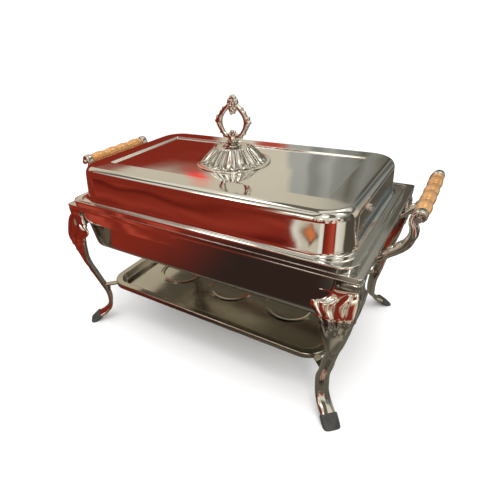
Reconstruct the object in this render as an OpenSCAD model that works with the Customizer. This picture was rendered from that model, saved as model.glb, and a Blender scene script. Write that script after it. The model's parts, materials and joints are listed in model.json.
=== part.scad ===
// Rectangular chafing dish on a footed stand: an ornate leg at each corner carries a railed frame,
// the water pan hangs in the frame by its rim, the food pan drops into the water pan, and a domed
// cover with a cast ring handle closes it. A shelf low between the legs takes the fuel cans.
// X runs along the length, Y from front to back, Z up. The origin is on the table under the middle.

/* [Water pan] */
// Length over the rim
rim_l = 600; // [580:5:620]
// Depth over the rim, front to back
rim_w = 400; // [390:5:420]
// Height of the rim's top above the table
rim_z = 307; // [300:1:315]
// Height of the rim's turned-down lip
lip_h = 10; // [8:1:12]
// Width of the rim at the two short ends
rim_end = 16; // [14:1:18]
// Width of the rim along the two long sides
rim_side = 11; // [10:1:13]
// Depth of the water pan below its rim
water_depth = 100; // [92:1:106]
// Thickness of the pressed sheet of pans, shelf and cover
sheet = 0.9; // [0.8:0.1:1.2]

/* [Food pan] */
// Depth of the food pan below its own rim
food_depth = 65; // [50:1:70]
// Width of the food pan's flat rim
food_rim = 20; // [16:1:24]

/* [Cover] */
// Length over the cover's brim
cover_l = 578; // [572:1:582]
// Depth over the cover's brim
cover_w = 350; // [346:1:354]
// Height from the brim's lower edge to the top of the dome
cover_h = 73; // [66:1:80]
// How far the cover is slid to the front
cover_shift = 24; // [20:1:24]

/* [Cover handle] */
// Radius of the fluted base
base_r = 70; // [62:1:74]
// Number of flutes round the base
flutes = 28; // [24:1:32]
// Half the width of the ring
ring_x = 36; // [32:1:38]
// Height of the ring
ring_h = 62; // [56:1:66]

/* [Stand] */
// Height of the frame's rails
rail_h = 34; // [30:1:36]
// Distance from the rim's outside to the rails' outside
rail_in = 6; // [5.6:0.1:6.4]
// Height of the shelf rim's top above the table
shelf_z = 115; // [112:1:118]
// Length of the shelf
shelf_l = 532; // [528:1:534]
// Depth of the shelf, front to back
shelf_w = 356; // [352:1:358]
// Radius of the beaded rings that place the fuel cans
can_ring_r = 50; // [44:1:52]

/* [Side handles] */
// Distance from the rim's end to the grip's axis
grip_out = 36; // [34:1:40]
// Height of the grip's axis above the rim
grip_up = 52; // [48:1:56]
// Length of the turned grip
grip_l = 160; // [150:2:164]
// Width of a scroll bracket
bracket_w = 18; // [14:1:20]

/* [Hidden] */

STEEL = "silver";
BRUSHED = "lightgray";
DARK_STEEL = "gray";
RUBBER = "dimgray";
GOLD = "peru";

// Half sizes of the water pan: rim outside, mouth, ledge inside and bottom
rim_x = rim_l / 2;
rim_y = rim_w / 2;
mouth_x = rim_x - rim_end;
mouth_y = rim_y - rim_side;
ledge_step = 3;
ledge_drop = 8;
ledge_z = rim_z - ledge_drop;
pan_x = mouth_x - ledge_step;
pan_y = mouth_y - ledge_step;
pan_taper_x = 2;
pan_taper_y = 10;
pan_r = 20;
floor_r = 24;
pan_edge = 14;
pan_floor = rim_z - water_depth;

// Food pan
food_gap = 1;
food_r = 40;
food_edge = 12;
food_floor = ledge_z - food_depth;
food_taper = 9;

// Cover
cover_gap = 0.4;
cover_z = rim_z + cover_gap;
brim_h = 10.6;
wall_in_x = 16;
wall_in_y = 11;
dome_z = cover_z + cover_h;
panel_x = 216;
panel_y = 108;
panel_drop = 2.6;
panel_z = dome_z - panel_drop;

// Cover handle, on the cover's middle
base_disc = 2;
base_h = 28;
base_top_r = 31;
collar_r = 12;
collar_h = 9;
collar_z = panel_z + base_h;
ring_z = collar_z + collar_h;
ring_bar = 4;
screw_r = 3;
hole_gap = 0.2;

// Frame of the stand
rail_t = 1.5;
rail_x = rim_x - rail_in;
rail_y = rim_y - rail_in;
rail_top = rim_z - sheet;
rail_corner = 14;
leg_top = rim_z - lip_h - 1;

// Shelf
shelf_lip = 11;
shelf_rim = 16;
shelf_drop = 18;
shelf_r = 45;
can_pitch = 148;
can_y = -38;
bead_r = 2.6;

// Tabs that carry the shelf, measured outward along the diagonal from the rim's corner
TAB_FROM = -71;
TAB_TO = -30.6;
TAB_W = 14;
TAB_SIDE = 5;
TAB_T = 2.5;
EAR_FACE = -34.8;
EAR_H = 16;

// Leg, in the upright plane through its corner. Each row holds the distance of the ridge outside
// the corner, the height, half the width, how sharply the two wings fold back, the thickness, and
// how far the leg's middle lies off that plane towards the long side.
LEG_ROWS = [
    [-2, leg_top, 25, 0.98, 8.6, 0],
    [-2, 284, 25, 0.98, 8.6, 0],
    [5, 267, 46, 0.95, 5, 4],
    [11, 243, 38, 0.9, 5, 10],
    [8, 217, 29, 0.75, 6, 12],
    [2, 190, 20, 0.5, 8, 12],
    [-5, 165, 12.5, 0.2, 9, 11],
    [-12, 138, 12.5, 0.25, 8.5, 9],
    [-18, 112, 13, 0.3, 8, 6],
    [-25, 84, 13.5, 0.35, 8, 4],
    [-26, 60, 13.5, 0.35, 8, 1],
    [-22, 42, 13.5, 0.3, 8, 0],
    [-10, 29, 14, 0.2, 8.5, 0],
    [8, 18, 14, 0.1, 9, 0],
    [22, 7, 14, 0, 9, 0],
    [35, -4, 14, 0, 9, 0]
];
LEG_END = 13.6;
CAP_START = 12.9;
CAP_END = 14.95;
CAP_WALL = 2.6;
CAP_FIT = 0.15;
ROW_STEPS = 2;
WING_STEPS = 4;
RIDGE = 3;

// Side handle
grip_x = rim_x + grip_out;
grip_z = rim_z + grip_up;
grip_r = 11.5;
rod_r = 2.5;
bracket_y = grip_l / 2 + 0.5 + bracket_w / 2;
SCROLL = [
    [-4, -23, 4.5], [4, -17, 5.5], [13, -8, 6.5], [22, 0, 7.2], [31, 10.5, 7.4], [35, 24, 6.5], [33, 36, 5],
    [28.5, 44.5, 4.2], [28, 52, 3.8], [32, 59.5, 3.4], [39.5, 60, 3.1], [43.5, 53.5, 2.8], [40.5, 48, 2.5]
];

// Corners of the object, as signs along X and Y
FRONT_LEFT = [-1, -1];
FRONT_RIGHT = [1, -1];
BACK_LEFT = [-1, 1];
BACK_RIGHT = [1, 1];
CORNERS = [FRONT_LEFT, FRONT_RIGHT, BACK_LEFT, BACK_RIGHT];

// Smooth curve through the rows of a list, for t from 0 to the last index
function spline(rows, t) =
    let (last = len(rows) - 1, i = min(floor(t), last - 1), f = t - i,
         a = rows[max(i - 1, 0)], b = rows[i], c = rows[i + 1], d = rows[min(i + 2, last)])
    0.5 * (2 * b + (c - a) * f + (2 * a - 5 * b + 4 * c - d) * f * f
           + (3 * b - a - 3 * c + d) * f * f * f);

// Ring of points at height z: a rounded rectangle of half sizes x and y, corner radius r
function ring(x, y, r, z, steps = 6) = [
    for (quarter = [0:3], k = [0:steps])
    let (a = 90 * quarter + 90 * k / steps,
         sx = (quarter == 0 || quarter == 3) ? 1 : -1,
         sy = quarter < 2 ? 1 : -1)
    [sx * (x - r) + r * cos(a), sy * (y - r) + r * sin(a), z]
];

// Solid through a list of rings with equally many points, closed flat at both ends
module loft(rings) {
    n = len(rings[0]);
    last = len(rings) - 1;
    sides = [for (j = [0:last - 1], i = [0:n - 1])
        let (k = (i + 1) % n, p = j * n, q = p + n)
        each [[p + i, q + i, p + k], [p + k, q + i, q + k]]];
    polyhedron(
        points = [for (row = rings) each row],
        faces = concat([[for (i = [0:n - 1]) i]], [[for (i = [n - 1:-1:0]) last * n + i]], sides),
        convexity = 10
    );
}

module at_corner(c) {
    mirror([c.x < 0 ? 1 : 0, 0, 0])
        mirror([0, c.y < 0 ? 1 : 0, 0])
            children();
}

// ---- Pans ----

// Rings of a rounded edge from a floor of half sizes x and y at height z up into its wall
function floor_edge(x, y, r, z, edge, up = true) = [
    for (k = [0:4])
    let (a = up ? 90 * k / 4 : 90 - 90 * k / 4, inset = edge * (1 - sin(a)))
    ring(x - inset, y - inset, max(r - inset, 1), z + edge * (1 - cos(a)))
];

module water_pan() {
    x = pan_x - pan_taper_x;
    y = pan_y - pan_taper_y;
    under = ledge_z - sheet;
    color(STEEL)
        loft(concat(
            floor_edge(x + sheet, y + sheet, floor_r + sheet, pan_floor - sheet, pan_edge + sheet),
            [
                ring(pan_x + sheet, pan_y + sheet, pan_r + sheet, under),
                ring(mouth_x + sheet, mouth_y + sheet, 8 + sheet, under),
                ring(mouth_x + sheet, mouth_y + sheet, 8 + sheet, rim_z - sheet),
                ring(rim_x - sheet, rim_y - sheet, 6 - sheet, rim_z - sheet),
                ring(rim_x - sheet, rim_y - sheet, 6 - sheet, rim_z - lip_h),
                ring(rim_x, rim_y, 6, rim_z - lip_h),
                ring(rim_x, rim_y, 6, rim_z - 1.6),
                ring(rim_x - 0.5, rim_y - 0.5, 5.5, rim_z - 0.5),
                ring(rim_x - 1.6, rim_y - 1.6, 4.4, rim_z),
                ring(mouth_x + 0.8, mouth_y + 0.8, 8.8, rim_z),
                ring(mouth_x, mouth_y, 8, rim_z - 0.8),
                ring(mouth_x, mouth_y, 8, ledge_z),
                ring(pan_x, pan_y, pan_r, ledge_z)
            ],
            floor_edge(x, y, floor_r, pan_floor, pan_edge, up = false)
        ));
}

module food_pan() {
    x = mouth_x - food_gap;
    y = mouth_y - food_gap;
    in_x = x - food_rim;
    in_y = y - food_rim;
    low_x = in_x - food_taper;
    low_y = in_y - food_taper;
    color(BRUSHED)
        loft(concat(
            floor_edge(low_x + sheet, low_y + sheet, food_r + sheet, food_floor - sheet, food_edge + sheet),
            [
                ring(in_x + sheet, in_y + sheet, 44, ledge_z),
                ring(x, y, 7, ledge_z),
                ring(x, y, 7, ledge_z + sheet),
                ring(in_x + 3, in_y + 3, 46, ledge_z + sheet),
                ring(in_x, in_y, 43, ledge_z + sheet - 3)
            ],
            floor_edge(low_x, low_y, food_r, food_floor, food_edge, up = false)
        ));
}

// ---- Cover ----

// Outer face of the cover from its panel out to the brim's lower edge, as [x, y, corner, z]
function cover_face() =
    let (bx = cover_l / 2, by = cover_w / 2, wx = bx - wall_in_x, wy = by - wall_in_y,
         brim_z = cover_z + brim_h, edge_x = 13, edge_y = 13, lean_x = 9, lean_y = 5.5,
         edge_z = dome_z - 1.5 - edge_x)
    concat(
        [[panel_x - 1, panel_y - 1, 2, panel_z], [panel_x, panel_y, 3, dome_z]],
        [for (k = [0:5])
            let (a = 18 * k)
            [wx - lean_x - edge_x * (1 - sin(a)), wy - lean_y - edge_y * (1 - sin(a)),
             50 - edge_x * (1 - sin(a)), edge_z + edge_x * cos(a)]],
        [
            [wx - lean_x * 0.2, wy - lean_y * 0.2, 55, brim_z + 9],
            [wx + 0.4, wy + 0.4, 56.4, brim_z + 3],
            [wx + 3, wy + 2.4, 56, brim_z + 0.4],
            [bx - 4, by - 4, 22, brim_z - 0.6],
            [bx - 1, by - 1, 25, brim_z - 2],
            [bx, by, 26, brim_z - 4.5],
            [bx, by, 26, cover_z]
        ]
    );

module cover_shell() {
    face = cover_face();
    last = len(face) - 1;
    inside = [for (i = [0:last])
        let (p = face[i])
        ring(p[0] - sheet, p[1] - sheet, max(p[2] - sheet, 0.8), i == last ? cover_z : p[3] - sheet)];
    outside = [for (i = [last:-1:0]) ring(face[i][0], face[i][1], face[i][2], face[i][3])];
    color(STEEL)
        translate([0, -cover_shift, 0])
            difference() {
                loft(concat(inside, outside));
                translate([0, 0, panel_z - 5])
                    cylinder(r = screw_r + hole_gap, h = 10, $fn = 32);
            }
}

// Fluted ring of the handle base: radius r with flutes of the given depth
function fluted(r, depth, z) = [
    for (i = [0:flutes * 4 - 1])
    let (a = 360 * i / (flutes * 4), rr = r - depth * (1 - cos(a * flutes)) / 2)
    [rr * cos(a), rr * sin(a), z]
];

module on_cover() {
    translate([0, -cover_shift, 0])
        children();
}

module handle_base() {
    flare = [[base_r - 6, 1.4, 3], [55, 2.6, 8], [45, 2.8, 14], [38, 2.4, 20], [base_top_r, 1.4, base_h - 1]];
    color(STEEL)
        on_cover()
            difference() {
                union() {
                    translate([0, 0, panel_z])
                        cylinder(r = base_r, h = base_disc, $fn = 96);
                    loft(concat(
                        [fluted(base_r - 4, 0, panel_z + 1)],
                        [for (f = flare) fluted(f[0], f[1], panel_z + f[2])],
                        [fluted(base_top_r - 3, 0, panel_z + base_h)]
                    ));
                }
                translate([0, 0, panel_z - 1])
                    cylinder(r = screw_r + hole_gap, h = base_h + 2, $fn = 32);
            }
}

module handle_collar() {
    color(STEEL)
        on_cover()
            translate([0, 0, collar_z])
                rotate_extrude($fn = 64)
                    polygon([
                        [screw_r + hole_gap, 0], [collar_r + 3, 0], [collar_r + 3, 1.6],
                        [collar_r - 2, 3], [collar_r - 3, 5], [collar_r - 1, 7.4],
                        [collar_r - 3, collar_h], [screw_r + hole_gap, collar_h]
                    ]);
}

// Centre line of the ring: a diamond with round sides
function ring_point(a) =
    let (c = cos(a), s = sin(a), bend = 1.2, reach = s > 0 ? 0.56 : 0.44)
    [(ring_x - ring_bar) * sign(c) * pow(abs(c), bend),
     ring_h * (0.44 + (reach - ring_bar / ring_h) * sign(s) * pow(abs(s), bend))];

module ring_handle() {
    steps = 40;
    sides = 8;
    loop = [for (i = [0:steps - 1]) ring_point(360 * i / steps)];
    points = [for (i = [0:steps - 1])
        let (p = loop[i], along = loop[(i + 1) % steps] - loop[(i + steps - 1) % steps],
             out = [along[1], -along[0]] / norm(along))
        for (k = [0:sides - 1])
        let (b = 360 * k / sides)
        [p[0] + out[0] * ring_bar * cos(b), ring_bar * sin(b), p[1] + out[1] * ring_bar * cos(b)]];
    faces = [for (i = [0:steps - 1], k = [0:sides - 1])
        let (i2 = (i + 1) % steps, k2 = (k + 1) % sides)
        each [[i * sides + k, i2 * sides + k, i * sides + k2],
              [i2 * sides + k, i2 * sides + k2, i * sides + k2]]];
    color(STEEL)
        on_cover()
            translate([0, 0, ring_z]) {
                difference() {
                    union() {
                        polyhedron(points = points, faces = faces, convexity = 6);
                        cylinder(r = 8, h = 7, $fn = 32);
                    }
                    translate([0, 0, -0.01])
                        cylinder(r = screw_r, h = 5, $fn = 32);
                }
                for (side = [-1, 1])
                    translate([side * (ring_x - 3.5), 0, ring_h * 0.44])
                        sphere(r = 6, $fn = 24);
                translate([0, 0, ring_h - 5])
                    sphere(r = 8, $fn = 24);
                translate([0, 0, ring_h + 4])
                    sphere(r = 4.5, $fn = 24);
            }
}

module handle_screw() {
    color(DARK_STEEL)
        on_cover() {
            translate([0, 0, panel_z - sheet - 1.5])
                cylinder(r = screw_r, h = ring_z + 5 - (panel_z - sheet - 1.5), $fn = 32);
            translate([0, 0, panel_z - sheet - 5.5])
                cylinder(r = 5.5, h = 4, $fn = 32);
        }
}

module handle_washer() {
    color(DARK_STEEL)
        on_cover()
            translate([0, 0, panel_z - sheet - 1.5])
                difference() {
                    cylinder(r = 11, h = 1.5, $fn = 48);
                    translate([0, 0, -1])
                        cylinder(r = screw_r + hole_gap, h = 4, $fn = 32);
                }
}

// ---- Stand ----

module rail(length) {
    translate([-length / 2, 0, rail_top - rail_h])
        cube([length, rail_t, rail_h]);
}

module rail_front() {
    color(STEEL) translate([0, -rail_y, 0]) rail(2 * (rail_x - rail_corner));
}

module rail_back() {
    color(STEEL) translate([0, rail_y - rail_t, 0]) rail(2 * (rail_x - rail_corner));
}

module rail_left() {
    color(STEEL) translate([-rail_x + rail_t, 0, 0]) rotate(90) rail(2 * (rail_y - rail_corner));
}

module rail_right() {
    color(STEEL) translate([rail_x, 0, 0]) rotate(90) rail(2 * (rail_y - rail_corner));
}

// Frame of the leg at t: point on the ridge, direction outward from the leg, row of sizes
function leg_out(t) =
    let (d = spline(LEG_ROWS, min(t + 0.05, 15)) - spline(LEG_ROWS, max(t - 0.05, 0)))
    [-d[1], d[0]] / norm([d[0], d[1]]);

// Point beside the leg's middle plane by s and outward by q from the ridge, at t
function leg_point(t, s, q) =
    let (row = spline(LEG_ROWS, t), out = leg_out(t), side = row[5] + s,
         r = row[0] + out[0] * q, z = row[1] + out[1] * q)
    [rim_x + (r - side) / sqrt(2), rim_y + (r + side) / sqrt(2), z];

// Ring of the leg at t, across its outer face and back across its inner face
function leg_ring(t) =
    let (row = spline(LEG_ROWS, t), w = row[2], fold = row[3], thick = row[4])
    concat(
        [for (k = [-WING_STEPS:WING_STEPS])
            let (s = w * k / WING_STEPS)
            leg_point(t, s, -fold * (sqrt(s * s + RIDGE * RIDGE) - RIDGE))],
        [for (k = [WING_STEPS:-1:-WING_STEPS])
            let (s = w * k / WING_STEPS)
            leg_point(t, s, -fold * (sqrt(s * s + RIDGE * RIDGE) - RIDGE) - thick)]
    );

// Oval ring round the leg's foot at t, standing proud of it by grow
function cap_ring(t, grow) =
    let (row = spline(LEG_ROWS, t), w = row[2] + grow, h = row[4] / 2 + grow, r = min(h - 0.5, 4))
    [for (p = ring(w, h, r, 0, steps = 3)) leg_point(t, p[0], p[1] - row[4] / 2)];

module leg(c) {
    color(STEEL)
        at_corner(c)
            loft([for (i = [0:14 * ROW_STEPS]) leg_ring(min(i / ROW_STEPS, LEG_END))]);
}

module foot_cap(c) {
    steps = 4;
    color(RUBBER)
        at_corner(c)
            difference() {
                loft([for (i = [0:steps]) cap_ring(CAP_START + (CAP_END - CAP_START) * i / steps, CAP_WALL)]);
                loft([for (i = [0:steps])
                    cap_ring(CAP_START - 0.2 + (LEG_END + 0.22 - CAP_START) * i / steps, CAP_FIT)]);
                translate([rim_x - 50, rim_y - 50, -60])
                    cube([150, 150, 60]);
            }
}

module leg_front_left() { leg(FRONT_LEFT); }
module leg_front_right() { leg(FRONT_RIGHT); }
module leg_back_left() { leg(BACK_LEFT); }
module leg_back_right() { leg(BACK_RIGHT); }
module foot_cap_front_left() { foot_cap(FRONT_LEFT); }
module foot_cap_front_right() { foot_cap(FRONT_RIGHT); }
module foot_cap_back_left() { foot_cap(BACK_LEFT); }
module foot_cap_back_right() { foot_cap(BACK_RIGHT); }

// Rivets that hold the legs' wings to the rails, one through each wing
module leg_rivets() {
    z = leg_top - 8;
    color(STEEL)
        for (c = CORNERS)
            at_corner(c) {
                translate([rail_x - 24, rail_y - 4, z])
                    rotate([-90, 0, 0]) rivet();
                translate([rail_x - 4, rail_y - 24, z])
                    rotate([0, 90, 0]) rivet();
            }
}

module rivet() {
    cylinder(r = 1.6, h = 10, $fn = 24);
    translate([0, 0, 9])
        cylinder(r = 3.2, h = 1.6, $fn = 24);
}

module fuel_shelf() {
    x = shelf_l / 2;
    y = shelf_w / 2;
    in_x = x - shelf_rim;
    in_y = y - shelf_rim;
    in_r = shelf_r - shelf_rim;
    floor_z = shelf_z - shelf_drop;
    color(DARK_STEEL) {
        loft(concat(
            floor_edge(in_x - 3 + sheet, in_y - 3 + sheet, in_r, floor_z - sheet, 5 + sheet),
            [
                ring(in_x + sheet, in_y + sheet, in_r + sheet, shelf_z - sheet),
                ring(x - sheet, y - sheet, shelf_r - sheet, shelf_z - sheet),
                ring(x - sheet, y - sheet, shelf_r - sheet, shelf_z - shelf_lip),
                ring(x, y, shelf_r, shelf_z - shelf_lip),
                ring(x, y, shelf_r, shelf_z - 1.6),
                ring(x - 0.4, y - 0.4, shelf_r - 0.4, shelf_z - 0.4),
                ring(x - 1.6, y - 1.6, shelf_r - 1.6, shelf_z),
                ring(in_x + 2, in_y + 2, in_r + 2, shelf_z),
                ring(in_x, in_y, in_r, shelf_z - 2)
            ],
            floor_edge(in_x - 3, in_y - 3, in_r - 1.2, floor_z, 5, up = false)
        ));
        for (i = [-1:1])
            translate([i * can_pitch, can_y, floor_z - 0.2])
                rotate_extrude($fn = 64)
                    translate([can_ring_r, 0])
                        intersection() {
                            circle(r = bead_r, $fn = 24);
                            translate([-bead_r, 0]) square([2 * bead_r, bead_r]);
                        }
    }
}

// Places its children at a corner, with +X running outward along the ankle's upright middle plane
module on_diagonal(c) {
    at_corner(c)
        translate([rim_x, rim_y, 0])
            rotate(45)
                translate([0, TAB_SIDE, 0])
                    children();
}

// Flat bar from under the shelf's corner to the inside of the ankle, with an ear for its screw
module shelf_tab(c) {
    top = shelf_z - shelf_lip;
    color(BRUSHED)
        on_diagonal(c) {
            translate([TAB_FROM, -TAB_W / 2, top - TAB_T])
                cube([TAB_TO - TAB_FROM, TAB_W, TAB_T]);
            translate([EAR_FACE - TAB_T, -TAB_W / 2, top - TAB_T - EAR_H])
                cube([TAB_T, TAB_W, EAR_H]);
        }
}

module shelf_tab_front_left() { shelf_tab(FRONT_LEFT); }
module shelf_tab_front_right() { shelf_tab(FRONT_RIGHT); }
module shelf_tab_back_left() { shelf_tab(BACK_LEFT); }
module shelf_tab_back_right() { shelf_tab(BACK_RIGHT); }

// Screws from inside each tab's ear into the leg
module shelf_screws() {
    color(DARK_STEEL)
        for (c = CORNERS)
            on_diagonal(c)
                translate([EAR_FACE - TAB_T, 0, shelf_z - shelf_lip - TAB_T - EAR_H / 2])
                    rotate([0, 90, 0]) {
                        translate([0, 0, -2])
                            cylinder(r = 3.8, h = 2, $fn = 32);
                        cylinder(r = 1.9, h = 8, $fn = 32);
                    }
}

// ---- Side handles ----

// Flat outline of a scroll band that swells and tapers along its centre line
function scroll_outline(side) =
    let (steps = 3, last = (len(SCROLL) - 1) * steps)
    [for (i = [0:last])
        let (p = spline(SCROLL, i / steps),
             ahead = spline(SCROLL, min(i / steps + 0.05, len(SCROLL) - 1)),
             d = ahead - spline(SCROLL, max(i / steps - 0.05, 0)),
             n = [-d[1], d[0]] / norm([d[0], d[1]]))
        [p[0] + side * n[0] * p[2], p[1] + side * n[1] * p[2]]];

module bracket(end, side) {
    left = scroll_outline(1);
    right = scroll_outline(-1);
    color(STEEL)
        mirror([end < 0 ? 1 : 0, 0, 0])
            translate([rim_x, side * bracket_y, rim_z])
                difference() {
                    union() {
                        translate([0, bracket_w / 2, 0])
                            rotate([90, 0, 0])
                                linear_extrude(bracket_w)
                                    polygon(concat(left, [for (i = [len(right) - 1:-1:0]) right[i]]));
                        translate([grip_out, bracket_w / 2, grip_up])
                            rotate([90, 0, 0])
                                cylinder(r = 5.5, h = bracket_w, $fn = 32);
                        translate([-rail_in, -bracket_w / 2 - 3, -rail_h + 1])
                            cube([3.5, bracket_w + 6, 20]);
                    }
                    translate([grip_out, bracket_w, grip_up])
                        rotate([90, 0, 0])
                            cylinder(r = rod_r, h = 2 * bracket_w, $fn = 32);
                }
}

module bracket_left_front() { bracket(-1, -1); }
module bracket_left_back() { bracket(-1, 1); }
module bracket_right_front() { bracket(1, -1); }
module bracket_right_back() { bracket(1, 1); }

// Radius of the turned grip at y from its middle: swells between beads
function grip_radius(y) =
    let (u = abs(y) / (grip_l / 2))
    u > 0.93 ? 8 + 3 * (1 - u) / 0.07
    : u > 0.5 ? 8.2 + 3.3 * pow(sin(180 * (0.93 - u) / 0.43), 0.8)
    : u > 0.36 ? 8.4 + 2.4 * pow(sin(180 * (0.5 - u) / 0.14), 0.7)
    : 8.2 + 2.6 * pow(sin(90 * (0.36 - u) / 0.36), 0.6);

module grip(end) {
    steps = 60;
    color(GOLD)
        translate([end * grip_x, 0, grip_z])
            rotate([90, 0, 0])
                rotate_extrude($fn = 48)
                    polygon(concat(
                        [[rod_r, -grip_l / 2]],
                        [for (i = [0:steps]) let (y = grip_l * (i / steps - 0.5)) [grip_radius(y), y]],
                        [[rod_r, grip_l / 2]]
                    ));
}

module grip_left() { grip(-1); }
module grip_right() { grip(1); }

module grip_rod(end) {
    length = 2 * (bracket_y + bracket_w / 2) + 6;
    color(DARK_STEEL)
        translate([end * grip_x, length / 2, grip_z])
            rotate([90, 0, 0])
                cylinder(r = rod_r, h = length, $fn = 32);
}

module grip_rod_left() { grip_rod(-1); }
module grip_rod_right() { grip_rod(1); }

// Round nuts on both ends of each rod
module grip_nuts() {
    color(STEEL)
        for (end = [-1, 1], side = [-1, 1])
            translate([end * grip_x, side * (bracket_y + bracket_w / 2), grip_z])
                rotate([side * -90, 0, 0])
                    difference() {
                        union() {
                            cylinder(r = 5, h = 2.4, $fn = 32);
                            cylinder(r = 3.8, h = 4, $fn = 32);
                        }
                        translate([0, 0, -1])
                            cylinder(r = rod_r, h = 4, $fn = 32);
                    }
}

// Screws from inside the end rails into the brackets' feet
module bracket_screws() {
    color(DARK_STEEL)
        for (end = [-1, 1], side = [-1, 1], dy = [-7, 7])
            translate([end * (rail_x - rail_t - 2), side * bracket_y + dy, rim_z - rail_h + 8])
                rotate([0, end * 90, 0]) {
                    cylinder(r = 3, h = 2, $fn = 24);
                    cylinder(r = 1.5, h = 6, $fn = 24);
                }
}

water_pan();
food_pan();
cover_shell();
handle_base();
handle_collar();
ring_handle();
handle_screw();
handle_washer();
rail_front();
rail_back();
rail_left();
rail_right();
leg_front_left();
leg_front_right();
leg_back_left();
leg_back_right();
foot_cap_front_left();
foot_cap_front_right();
foot_cap_back_left();
foot_cap_back_right();
leg_rivets();
fuel_shelf();
shelf_tab_front_left();
shelf_tab_front_right();
shelf_tab_back_left();
shelf_tab_back_right();
shelf_screws();
bracket_left_front();
bracket_left_back();
bracket_right_front();
bracket_right_back();
grip_left();
grip_right();
grip_rod_left();
grip_rod_right();
grip_nuts();
bracket_screws();
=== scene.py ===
import json
import math
import random

import bmesh
import bpy
from mathutils import Matrix, Vector


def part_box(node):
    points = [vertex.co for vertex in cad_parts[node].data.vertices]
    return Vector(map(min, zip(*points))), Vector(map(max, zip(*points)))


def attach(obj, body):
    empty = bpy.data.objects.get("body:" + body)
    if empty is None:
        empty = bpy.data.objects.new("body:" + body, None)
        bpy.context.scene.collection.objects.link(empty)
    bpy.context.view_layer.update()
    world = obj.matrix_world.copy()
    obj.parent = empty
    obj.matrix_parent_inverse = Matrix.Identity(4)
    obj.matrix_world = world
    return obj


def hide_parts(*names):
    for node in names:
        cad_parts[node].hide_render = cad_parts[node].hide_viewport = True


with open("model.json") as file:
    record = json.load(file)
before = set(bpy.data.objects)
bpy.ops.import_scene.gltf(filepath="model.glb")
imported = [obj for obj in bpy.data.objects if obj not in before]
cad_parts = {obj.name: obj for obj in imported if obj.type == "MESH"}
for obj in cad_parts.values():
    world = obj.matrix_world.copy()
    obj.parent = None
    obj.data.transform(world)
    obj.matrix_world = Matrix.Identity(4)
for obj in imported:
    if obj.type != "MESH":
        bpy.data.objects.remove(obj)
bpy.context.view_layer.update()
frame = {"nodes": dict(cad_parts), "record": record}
MM = 0.001


# ---- The frame's sizes, in millimetres ----

def box_mm(node):
    """A CAD node's low and high corner."""
    low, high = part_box(node)
    return Vector(low) / MM, Vector(high) / MM


PAN_LOW, PAN_HIGH = box_mm("water_pan")
RIM_X, RIM_Y, RIM_Z = PAN_HIGH
FOOD_LOW, FOOD_HIGH = box_mm("food_pan")
COVER_LOW, COVER_HIGH = box_mm("cover_shell")
COVER_X = COVER_HIGH.x
COVER_Y = (COVER_HIGH.y - COVER_LOW.y) / 2
COVER_MID = (COVER_HIGH.y + COVER_LOW.y) / 2
SHELF_LOW, SHELF_HIGH = box_mm("fuel_shelf")
BASE_LOW, BASE_HIGH = box_mm("handle_base")
RING_LOW, RING_HIGH = box_mm("ring_handle")
GRIP_LOW, GRIP_HIGH = box_mm("grip_right")
BRACKET_LOW, BRACKET_HIGH = box_mm("bracket_right_front")
SHEET = 0.9
CORNERS = {
    "front_left": (-1, -1),
    "front_right": (1, -1),
    "back_left": (-1, 1),
    "back_right": (1, 1),
}


# ---- Mesh helpers ----

def mix(a, b, t):
    """Row or colour that lies at t between a and b."""
    return [p + (q - p) * t for p, q in zip(a, b)]


def smooth_step(low, high, value):
    """Soft step from 0 at low to 1 at high."""
    t = min(max((value - low) / (high - low), 0.0), 1.0)
    return t * t * (3 - 2 * t)


def spline(rows, t):
    """Point at t on the smooth curve through the rows."""
    last = len(rows) - 1
    i = min(int(t), last - 1)
    f = t - i
    a, b, c, d = rows[max(i - 1, 0)], rows[i], rows[i + 1], rows[min(i + 2, last)]
    return [
        0.5 * (2 * q + (r - p) * f + (2 * p - 5 * q + 4 * r - s) * f * f
               + (3 * q - p - 3 * r + s) * f ** 3)
        for p, q, r, s in zip(a, b, c, d)
    ]


def soften(rows, steps=5):
    """Rows of [x, y, corner, z, fillet], with each inner row turned into a curve of its fillet's size."""
    path = [list(rows[0][:4])]
    for before, row, after in zip(rows, rows[1:], rows[2:]):
        here, fillet = row[:4], row[4]
        ends = []
        for other in (before[:4], after[:4]):
            reach = max(math.dist((here[0], here[3]), (other[0], other[3])), 0.001)
            ends.append(mix(here, other, min(fillet / reach, 0.49)))
        count = steps if fillet else 0
        for k in range(count + 1):
            t = k / count if count else 0
            path.append(mix(mix(ends[0], here, t), mix(here, ends[1], t), t))
    path.append(list(rows[-1][:4]))
    return path


def rectangle(x, y, corner, z, middle=0.0, steps=14):
    """Rounded rectangle of half sizes x and y, as a closed list of points."""
    points = []
    for quarter in range(4):
        sx = 1 if quarter in (0, 3) else -1
        sy = 1 if quarter < 2 else -1
        for k in range(steps + 1):
            a = math.radians(90 * quarter + 90 * k / steps)
            points.append(Vector((sx * (x - corner) + corner * math.cos(a),
                                  middle + sy * (y - corner) + corner * math.sin(a), z)))
    return points


def skin(bm, rings, cap_first=True, cap_last=True):
    """Quads between rings of equally many points, with the first and last ring capped."""
    loops = [[bm.verts.new(p) for p in ring] for ring in rings]
    for lower, upper in zip(loops, loops[1:]):
        for i in range(len(lower)):
            k = (i + 1) % len(lower)
            bm.faces.new((lower[i], lower[k], upper[k], upper[i]))
    if cap_first:
        bm.faces.new(list(reversed(loops[0])))
    if cap_last:
        bm.faces.new(loops[-1])
    return loops


def turned(bm, profile, matrix, steps=48):
    """Solid of revolution about Z from [radius, height] rows; a radius of 0 closes an end."""
    rings = []
    for radius, height in profile:
        r = max(radius, 0.02)
        rings.append([matrix @ Vector((r * math.cos(math.tau * k / steps),
                                       r * math.sin(math.tau * k / steps), height))
                      for k in range(steps)])
    skin(bm, rings)


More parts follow.
